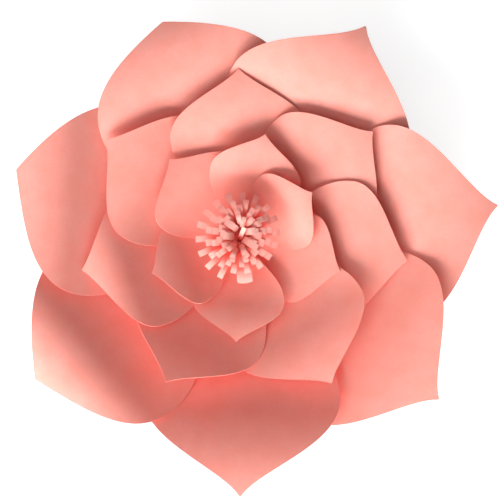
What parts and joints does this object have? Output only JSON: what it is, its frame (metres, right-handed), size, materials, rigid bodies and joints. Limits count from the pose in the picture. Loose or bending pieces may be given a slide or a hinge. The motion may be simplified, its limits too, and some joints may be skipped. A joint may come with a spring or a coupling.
{
  "type": "layered paper flower decoration",
  "caption": "Layered paper flower for a wall or backdrop: rings of pointed, curled coral card petals round a rolled, fringed paper centre on a round card backing.",
  "frame": {"origin": "centre of the backing disc's rear face", "axes": "+Z out of the wall, along the flower's axis towards the viewer; +Y is up and +X is right as the flower is seen from the front. It lies on its back at rest"},
  "size_m": [0.2918, 0.2845, 0.0508],
  "materials": {
    "petal_card": "matte",
    "backing_card": "matte",
    "fringe_paper": "matte"
  },
  "bodies": {
    "root": {"backing_disc": "backing_card", "outer_petal_1": "petal_card", "outer_petal_2": "petal_card", "outer_petal_3": "petal_card", "outer_petal_4": "petal_card", "outer_petal_5": "petal_card", "outer_petal_6": "petal_card", "outer_petal_7": "petal_card", "middle_petal_1": "petal_card", "middle_petal_2": "petal_card", "middle_petal_3": "petal_card", "middle_petal_4": "petal_card", "middle_petal_5": "petal_card", "middle_petal_6": "petal_card", "middle_petal_7": "petal_card", "inner_petal_1": "petal_card", "inner_petal_2": "petal_card", "inner_petal_3": "petal_card", "inner_petal_4": "petal_card", "inner_petal_5": "petal_card", "inner_petal_6": "petal_card", "fringe_center": "fringe_paper"}
  },
  "joints": []
}
